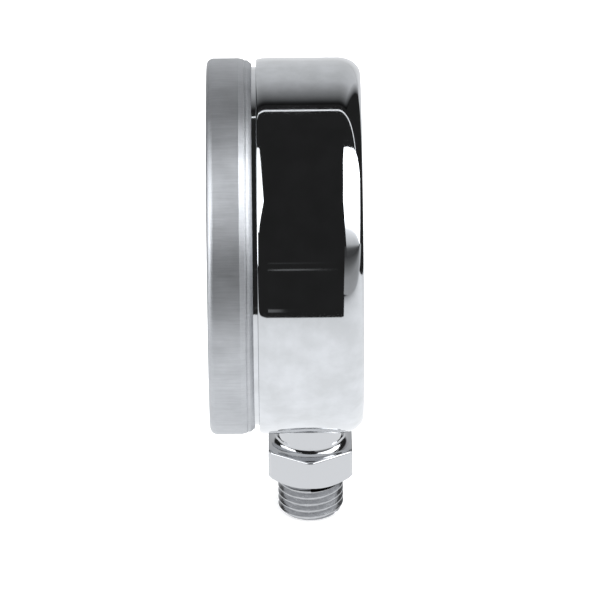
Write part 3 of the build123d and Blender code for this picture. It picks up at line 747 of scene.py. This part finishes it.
# The spring keeps its shape as the pointer turns, so the collet clears its eye by a hair.
eye_gap = 0.03
between_bore_and_outside = 1.1
collet = copy_of("hairspring_collet")
for v in collet.verts:
    out = Vector((v.co.x, 0, v.co.z - dial_height))
    if out.length > between_bore_and_outside:
        v.co -= out.normalized() * eye_gap
place("collet_eased", collet, [turned_brass], "pointer", "brass", "hairspring_collet")

# ---- Dial --------------------------------------------------------------------------------------
# Aluminium disc, stove-enamelled white and screen-printed with a plain scale from 0 to 10. Two
# screws clamp it to posts on the block, and a pin beside zero stops the pointer.
dial_front = -10.8
zero_angle, full_sweep = 225.0, 270.0  # degrees anticlockwise from +X, and clockwise from there
divisions, steps_per_division = 10, 5
scale_outside, band_width = 26.2, 0.3
long_mark, short_mark = (0.55, 3.6), (0.25, 2.0)  # width and length
figure_radius, figure_size = 18.2, 6.16
ink_height = 0.02

# Stove enamel: warm white and satin, with the faint orange peel of a sprayed coat.
enamel = blank("white_stove_enamel")
where = add(enamel, "TexCoord").outputs["Object"]
peel = add(enamel, "TexNoise", {"Vector": where, "Scale": every(1.11), "Detail": 1.0})
cloud = add(enamel, "TexNoise", {"Vector": where, "Scale": every(16.7), "Detail": 2.0})
tone = add(
    enamel,
    "MixRGB",
    {"Fac": cloud.outputs["Fac"], "Color1": colour("#edece6"), "Color2": colour("#f6f6f2")},
)
bumps = add(enamel, "Bump", {"Height": peel.outputs["Fac"], "Strength": 0.1, "Distance": 0.00003})
coat = add(
    enamel,
    "BsdfPrincipled",
    {"Base Color": tone.outputs["Color"], "Roughness": 0.38, "Normal": bumps.outputs["Normal"]},
)
add(enamel, "OutputMaterial", {"Surface": coat.outputs["BSDF"]})

# Screen ink: dead flat black that thins a little across the mesh of the screen.
ink = blank("black_screen_ink")
where = add(ink, "TexCoord").outputs["Object"]
mesh_marks = add(ink, "TexNoise", {"Vector": where, "Scale": every(0.25), "Detail": 2.0})
tone = add(
    ink,
    "MixRGB",
    {"Fac": mesh_marks.outputs["Fac"], "Color1": colour("#0c0c0d"), "Color2": colour("#202022")},
)
print_coat = add(
    ink,
    "BsdfPrincipled",
    {"Base Color": tone.outputs["Color"], "Roughness": 0.9, "Specular IOR Level": 0.12},
)
add(ink, "OutputMaterial", {"Surface": print_coat.outputs["BSDF"]})


def on_dial(radius, angle, turn=0.0):
    """Where a mark drawn upright in XY goes on the dial: at a radius and angle, turned in place."""
    out = Matrix.Translation(
        (radius * cos(radians(angle)), dial_front, dial_height + radius * sin(radians(angle)))
    )
    return out @ Matrix.Rotation(radians(90), 4, "X") @ Matrix.Rotation(radians(turn), 4, "Z")


place("dial_disc", copy_of("dial", 0.1), [enamel], "housing", "white_enamel", "dial")

# The marks, half sunk in the dial, and the band outside them.
scale = bmesh.new()
steps = divisions * steps_per_division
for number in range(steps + 1):
    angle = zero_angle - full_sweep * number / steps
    width, length = short_mark if number % steps_per_division else long_mark
    size = Matrix.Diagonal((width, length, ink_height * 2, 1))
    spot = on_dial(scale_outside - length / 2, angle, angle - 90)
    bmesh.ops.create_cube(scale, size=1, matrix=spot @ size)
band = [(dial_front, scale_outside), (dial_front - ink_height, scale_outside)]
band += [(depth, scale_outside + band_width) for depth in (dial_front - ink_height, dial_front)]
join(scale, turned(band, turn=full_sweep, start=90.0 - zero_angle, steps=180))
for figure in range(0, divisions + 1, 2):
    angle = zero_angle - full_sweep * figure / divisions
    text = bpy.data.curves.new("figure", "FONT")
    text.body = str(figure)
    text.size = figure_size
    text.align_x, text.align_y = "CENTER", "CENTER"
    text.extrude = ink_height
    carrier = bpy.data.objects.new("figure", text)
    outline_mesh = bpy.data.meshes.new_from_object(carrier)
    outline_mesh.transform(on_dial(figure_radius, angle))
    scale.from_mesh(outline_mesh)
    bpy.data.meshes.remove(outline_mesh)
    bpy.data.objects.remove(carrier)
    bpy.data.curves.remove(text)
bmesh.ops.remove_doubles(scale, verts=scale.verts, dist=touch)
bmesh.ops.dissolve_degenerate(scale, edges=scale.edges, dist=touch)
place("dial_scale", scale, [ink], "housing", "black_enamel")

for node, easing in (("dial_screws", 0.12), ("stop_pin", 0.1)):
    place(node + "_eased", copy_of(node, easing), [steel], "housing", "steel", node)
finish_node("dial_posts", turned_brass)

# ---- Pointer -----------------------------------------------------------------------------------
# Needle pressed from aluminium sheet and painted black, with a counterweight behind its boss. It
# is riveted on a turned brass hub that is pushed onto the pinion's arbor.

# Black paint on the pointer: dense and nearly flat, with the faint texture of a sprayed coat.
paint = blank("black_pointer_paint")
where = add(paint, "TexCoord").outputs["Object"]
spray = add(paint, "TexNoise", {"Vector": where, "Scale": every(0.4), "Detail": 2.0})
tone = add(
    paint,
    "MixRGB",
    {"Fac": spray.outputs["Fac"], "Color1": colour("#0d0d0e"), "Color2": colour("#1b1b1d")},
)
bumps = add(paint, "Bump", {"Height": spray.outputs["Fac"], "Strength": 0.15, "Distance": 0.00002})
coat = add(
    paint,
    "BsdfPrincipled",
    {
        "Base Color": tone.outputs["Color"],
        "Roughness": 0.55,
        "Specular IOR Level": 0.2,
        "Normal": bumps.outputs["Normal"],
    },
)
add(paint, "OutputMaterial", {"Surface": coat.outputs["BSDF"]})

needle = copy_of("pointer", 0.08)
place("pointer_needle", needle, [paint], "pointer", "black_enamel", "pointer")
hub = copy_of("pointer_hub", 0.12)
place("hub_turned", hub, [turned_brass], "pointer", "brass", "pointer_hub")

# ---- Window ------------------------------------------------------------------------------------
# Flat disc of instrument glass with ground edges, which the ring's lip presses onto a nitrile
# rubber gasket on the case's neck.
window_front, window_back = -16.0, -14.0
window_radius = 29.95
ground_edge = 0.25
finish_node("window_gasket", rubber)

# Float glass: colourless and clear from the front, with a trace of dust film in its gloss.
glass = blank("instrument_glass")
where = add(glass, "TexCoord").outputs["Object"]
film = add(glass, "TexNoise", {"Vector": where, "Scale": every(11.1), "Detail": 3.0})
gloss = add(glass, "MapRange", {"Value": film.outputs["Fac"], "To Min": 0.0, "To Max": 0.015})
clear = add(
    glass,
    "BsdfPrincipled",
    {
        "Base Color": colour("#fbfefd"),
        "Roughness": gloss.outputs["Result"],
        "Transmission Weight": 1.0,
        "IOR": 1.52,
    },
)
add(glass, "OutputMaterial", {"Surface": clear.outputs["BSDF"]})

window_profile = [(window_front, 0.0), (window_front, window_radius - ground_edge)]
window_profile += [(window_front + ground_edge, window_radius)]
window_profile += [(window_back - ground_edge, window_radius)]
window_profile += [(window_back, window_radius - ground_edge), (window_back, 0.0)]
window = turned(window_profile, steps=128, closed=False)
place("window_disc", window, [glass], "housing", "window_glass", "window")

# ---- Bayonet ring ------------------------------------------------------------------------------
# Spun stainless steel ring with a rounded lip, a plain band and a thin rear edge that tapers in two
# steps. Three lugs inside lock into the neck's slots. It is brushed across the band all round.
ring_front, ring_back = -16.8, -9.3
ring_opening, ring_inner = 27.6, 30.25
ring_round, opening_edge = 1.2, 0.25
lip_thickness = 0.8
# The rear edge's taper and its fine groove, as depths and how far in from the band.
rear_edge = [(-11.45, 0.0), (-10.6, 0.2), (-10.4, 0.4), (-10.2, 0.34), (-9.95, 0.42)]
rear_edge += [(ring_back, 0.95)]
lugs, lug_front, lug_length, lug_height, lug_angle = 3, -12.2, 1.2, 0.6, 14.0

# Brushed stainless steel: grey, with short fine scratches from front to back. They are drawn
# 0.3 mm apart, coarser than the real ones, so that they show.
brushed_steel = blank("brushed_stainless_steel")
where = add(brushed_steel, "TexCoord").outputs["Object"]
across = add(brushed_steel, "Mapping", {"Vector": where, "Scale": (1.0, 0.06, 1.0)})
scratches = add(
    brushed_steel,
    "TexNoise",
    {"Vector": across.outputs["Vector"], "Scale": every(0.333), "Detail": 3.0, "Roughness": 0.7},
)
patches = add(brushed_steel, "TexNoise", {"Vector": where, "Scale": every(4.55), "Detail": 3.0})
blotches = add(
    brushed_steel,
    "Math",
    {0: scratches.outputs["Fac"], 1: patches.outputs["Fac"]},
    operation="ADD",
)
tone = add(
    brushed_steel,
    "MapRange",
    {"Value": blotches.outputs["Value"], "From Min": 0.7, "From Max": 1.3},
)
shade = add(
    brushed_steel,
    "MixRGB",
    {"Fac": tone.outputs["Result"], "Color1": colour("#b4b6b9"), "Color2": colour("#c9cbce")},
)
gloss = add(
    brushed_steel, "MapRange", {"Value": scratches.outputs["Fac"], "To Min": 0.38, "To Max": 0.52}
)
bumps = add(
    brushed_steel,
    "Bump",
    {"Height": scratches.outputs["Fac"], "Strength": 0.3, "Distance": 0.00002},
)
metal = add(
    brushed_steel,
    "BsdfPrincipled",
    {
        "Base Color": shade.outputs["Color"],
        "Metallic": 1.0,
        "Roughness": gloss.outputs["Result"],
        "Normal": bumps.outputs["Normal"],
    },
)
add(brushed_steel, "OutputMaterial", {"Surface": metal.outputs["BSDF"]})

ring_profile = [(ring_front + opening_edge, ring_opening)]
ring_profile += [(ring_front, ring_opening + opening_edge)]
front_round = (ring_front + ring_round, case_radius - ring_round)
ring_profile += rounded(front_round, (ring_round, ring_round), 180, -90, 10)
ring_profile += [(depth, case_radius - drop) for depth, drop in rear_edge]
ring_profile += [(ring_back, ring_inner), (ring_front + lip_thickness, ring_inner)]
ring_profile += [(ring_front + lip_thickness, ring_opening)]
ring = turned(ring_profile)
for number in range(lugs):
    lug_profile = [(lug_front, ring_inner), (lug_front, ring_inner - lug_height)]
    lug_profile += [(lug_front + lug_length, ring_inner - lug_height)]
    lug_profile += [(lug_front + lug_length, ring_inner)]
    middle = 360 / lugs * number
    lug = turned(lug_profile, turn=lug_angle, start=middle - lug_angle / 2, steps=10)
    bmesh.ops.holes_fill(lug, edges=[e for e in lug.edges if e.is_boundary], sides=4)
    bmesh.ops.recalc_face_normals(lug, faces=lug.faces)
    join(ring, lug)
place("ring_band", ring, [brushed_steel], "housing", "brushed_stainless", "bezel_ring", sharp=12)

# ---- Studio ------------------------------------------------------------------------------------
# A floor of white paper that glows a little so that it stays white, glowing cards in a dark room
# for the polished steel to mirror, two soft lamps, and the camera. Sizes here are in metres.
low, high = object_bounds()
floor_height = low.z
case_centre = Vector((0, (low.y + high.y) / 2, dial_height / 1000))


def stage_piece(name, shape, material):
    """Puts a shape in metres on the stage as one piece."""
    mesh = bpy.data.meshes.new(name)
    shape.to_mesh(mesh)
    shape.free()
    mesh.materials.append(material)
    made = bpy.data.objects.new(name, mesh)
    bpy.context.scene.collection.objects.link(made)
    return made


# Uncoated paper: white and dead matt.
paper = blank("white_paper")
matt = add(
    paper,
    "BsdfPrincipled",
    {
        "Base Color": colour("#f4f4f4"),
        "Roughness": 0.9,
        "Emission Color": (1, 1, 1, 1),
        "Emission Strength": 0.3,
    },
)
add(paper, "OutputMaterial", {"Surface": matt.outputs["BSDF"]})
floor_shape = bmesh.new()
bmesh.ops.create_grid(floor_shape, x_segments=1, y_segments=1, size=4.0)
bmesh.ops.translate(floor_shape, vec=(0, 0, floor_height), verts=floor_shape.verts)
floor = stage_piece("floor", floor_shape, paper)
floor.visible_glossy = False

# The room: white light all round, but nearly dark where the steel mirrors it.
room_light, room_mirrored = 0.9, 0.02
world = bpy.data.worlds.new("studio")
bpy.context.scene.world = world
world.use_nodes = True
world.node_tree.nodes.clear()
path = add(world, "LightPath")
seen = add(
    world,
    "MapRange",
    {"Value": path.outputs["Is Glossy Ray"], "To Min": room_light, "To Max": room_mirrored},
)
glow = add(world, "Background", {"Color": (1, 1, 1, 1), "Strength": seen.outputs["Result"]})
add(world, "OutputWorld", {"Surface": glow.outputs["Background"]})

brightest = 4.0  # a fade's curve runs from 0 to 1, so its light is shared by this


def card(name, corners, fades):
    """A glowing card that only reflections see.

    Its fades give its light as (place, light) steps along X, Y, Z or Angle, the degrees above the
    level as seen from the case's axis.
    """
    light = blank(name)
    split = add(light, "SeparateXYZ", {"Vector": add(light, "TexCoord").outputs["Object"]})
    rise = add(light, "Math", {0: split.outputs["Z"], 1: case_centre.z}, operation="SUBTRACT")
    turn = add(
        light, "Math", {0: rise.outputs["Value"], 1: split.outputs["X"]}, operation="ARCTAN2"
    )
    angle = add(light, "Math", {0: turn.outputs["Value"]}, operation="DEGREES")
    level = 1.0
    for along, steps in fades.items():
        first, last = steps[0][0], steps[-1][0]
        place_on_card = angle.outputs["Value"] if along == "Angle" else split.outputs[along]
        share = add(
            light, "MapRange", {"Value": place_on_card, "From Min": first, "From Max": last}
        )
        ramp = add(light, "FloatCurve", {"Value": share.outputs["Result"]})
        curve = ramp.mapping.curves[0]
        curve.points[0].location = (0.0, steps[0][1] / brightest)
        curve.points[1].location = (1.0, steps[-1][1] / brightest)
        for spot, value in steps[1:-1]:
            curve.points.new((spot - first) / (last - first), value / brightest)
        for point in curve.points:
            point.handle_type = "VECTOR"
        ramp.mapping.update()
        scaled = add(light, "Math", {0: ramp.outputs["Value"], 1: level}, operation="MULTIPLY")
        scaled = add(
            light, "Math", {0: scaled.outputs["Value"], 1: brightest}, operation="MULTIPLY"
        )
        level = scaled.outputs["Value"]
    shine = add(light, "Emission", {"Color": (0.985, 1.0, 1.02, 1), "Strength": level})
    add(light, "OutputMaterial", {"Surface": shine.outputs["Emission"]})
    shape = bmesh.new()
    shape.faces.new([shape.verts.new(corner) for corner in corners])
    made = stage_piece(name, shape, light)
    made.visible_camera = made.visible_diffuse = made.visible_shadow = False
    made.visible_transmission = made.visible_volume_scatter = False


# A white table, just under the paper. It ends in front of the gauge, with the dark room beyond it,
# and runs further out behind the case.
below = floor_height - 0.0005
card(
    "table_light",
    [
        (-1.6, -1.1, below), (-0.08, -0.09, below), (0.0, -0.3, below), (0.232, -1.0, below),
        (0.232, 0.05, below), (1.2, 0.3, below), (1.2, 1.2, below), (0.232, 1.0, below),
        (0.0, 0.3, below), (-0.08, 0.09, below), (-1.6, 1.1, below),
    ],
    {
        "X": [
            (-1.6, 0.7), (-0.09, 0.85), (-0.02, 1.06), (0.0, 1.13), (0.065, 1.09), (0.232, 0.94),
            (0.6, 0.6), (1.2, 0.3),
        ],
        "Y": [(-1.2, 0.4), (-0.15, 0.95), (0.0, 1.0), (0.15, 0.95), (1.2, 0.4)],
    },
)

# A white backdrop behind, lit from below so that it fades upwards.
card(
    "backdrop_light",
    [(-1.6, -1.1, below), (-1.6, 1.1, below), (-1.6, 1.1, 2.4), (-1.6, -1.1, 2.4)],
    {
        "Y": [(-1.1, 0.0), (-0.8, 0.9), (0.0, 1.0), (0.8, 0.9), (1.1, 0.0)],
        "Z": [
            (0.0, 0.74), (0.72, 0.66), (1.0, 0.59), (1.28, 0.44), (1.59, 0.28), (1.95, 0.13),
            (2.2, 0.03), (2.4, 0.0),
        ],
    },
)

# Two softboxes, one beyond the dial and one behind the case, from the table's level to overhead.
# The first is dimmer overhead, and the second along its lower edge.
shared = [(-0.2, 0.12), (-0.1, 0.74), (-0.05, 1.7), (0.25, 1.95)]
card(
    "softbox_dial_side",
    [
        (x, -0.5, z)
        for x, z in shared + [
            (1.68, 2.53), (1.0, 1.0), (0.79, 0.66), (0.4, 0.36), (0.38, 0.13), (0.0, 0.01),
        ]
    ],
    {"Angle": [(-180.0, 4.0), (40.0, 3.5), (60.0, 2.8), (80.0, 1.7), (110.0, 1.6), (180.0, 3.0)]},
)
card(
    "softbox_back_side",
    [(x, 0.5, z) for x, z in shared + [(1.06, 1.68), (1.05, 0.9), (0.98, 0.43), (0.0, 0.05)]],
    {
        "Angle": [
            (20.0, 0.07), (25.0, 0.08), (27.0, 0.15), (29.5, 0.6), (34.0, 0.85), (39.0, 1.2),
            (43.0, 4.0), (180.0, 4.0),
        ],
    },
)

# A thin bright bar overhead with a leg behind the case.
card(
    "bar_light",
    [(-0.631, -0.6, 1.178), (-0.609, -0.6, 1.19), (-0.609, 0.49, 1.19), (-0.631, 0.49, 1.178)],
    {"Y": [(-0.6, 1.4), (0.5, 1.4)]},
)
card(
    "leg_light",
    [(-0.631, 0.49, 1.178), (-0.609, 0.49, 1.19), (0.01, 0.49, 0.08), (-0.01, 0.49, 0.07)],
    {"Z": [(0.0, 1.4), (1.2, 1.4)]},
)

# Faint glints from things left on the bench in front.
for name, x, left, right, height, tall, shine in (
    ("glint_long", 1.0, -0.0085, 0.009, 0.304, 0.016, 0.22),
    ("glint_faint", 1.0, -0.011, 0.01, 0.38, 0.012, 0.06),
    ("glint_low", 0.3, -0.009, -0.0045, -0.003, 0.01, 0.2),
):
    foot, head = height - tall / 2, height + tall / 2
    card(
        name,
        [(x, left, foot), (x, right, foot), (x, right, head), (x, left, head)],
        {"Y": [(left, shine), (right, shine / 2)]},
    )

# A grey wall low down behind the case, lighter towards the table.
card(
    "low_wall",
    [(-0.1, 0.51, below), (2.2, 0.51, below), (1.4, 0.51, 0.8), (0.0, 0.51, 0.05)],
    {
        "Angle": [
            (-20.0, 0.6), (-6.0, 0.42), (2.0, 0.38), (8.0, 0.36), (12.0, 0.27), (16.0, 0.16),
            (22.0, 0.06), (60.0, 0.06),
        ],
    },
)

gauge_middle = Vector((0, 0, 0.04))


def lamp(name, spot, width, depth, power):
    """A soft lamp that looks at the gauge and isn't itself reflected."""
    data = bpy.data.lights.new(name, "AREA")
    data.shape = "RECTANGLE"
    data.size, data.size_y, data.energy = width, depth, power
    made = bpy.data.objects.new(name, data)
    bpy.context.scene.collection.objects.link(made)
    made.location = spot
    made.rotation_mode = "QUATERNION"
    made.rotation_quaternion = (gauge_middle - made.location).to_track_quat("-Z", "Y")
    made.visible_camera = made.visible_glossy = False


lamp("lamp_overhead", (0.2, 0, 1.6), 2.0, 2.0, 45)
lamp("lamp_front", (0.3, -1.2, 0.7), 1.0, 1.0, 4)

# The camera looks along the dial's plane and down, from the gauge's side.
elevation, distance, roll = radians(29.05), 1.065, radians(-0.52)
view_width = 0.100536  # how much the view takes in at the gauge
aim_right, aim_down = 0.0024, 0.00914  # from the case's centre
back = Vector((cos(elevation), 0, sin(elevation)))
up = Vector((-sin(elevation), 0, cos(elevation)))
camera_data = bpy.data.cameras.new("camera")
camera_data.sensor_width = 36
camera_data.lens = camera_data.sensor_width * distance / view_width
camera_data.clip_start, camera_data.clip_end = 0.01, 20
camera = bpy.data.objects.new("camera", camera_data)
bpy.context.scene.collection.objects.link(camera)
bpy.context.scene.camera = camera
camera.location = case_centre + back * distance
aim = case_centre + Vector((0, aim_right, 0)) - up * aim_down
facing = (aim - camera.location).to_track_quat("-Z", "Y") @ Quaternion((0, 0, 1), roll)
camera.rotation_mode = "QUATERNION"
camera.rotation_quaternion = facing
bpy.context.scene.view_settings.view_transform = "Standard"
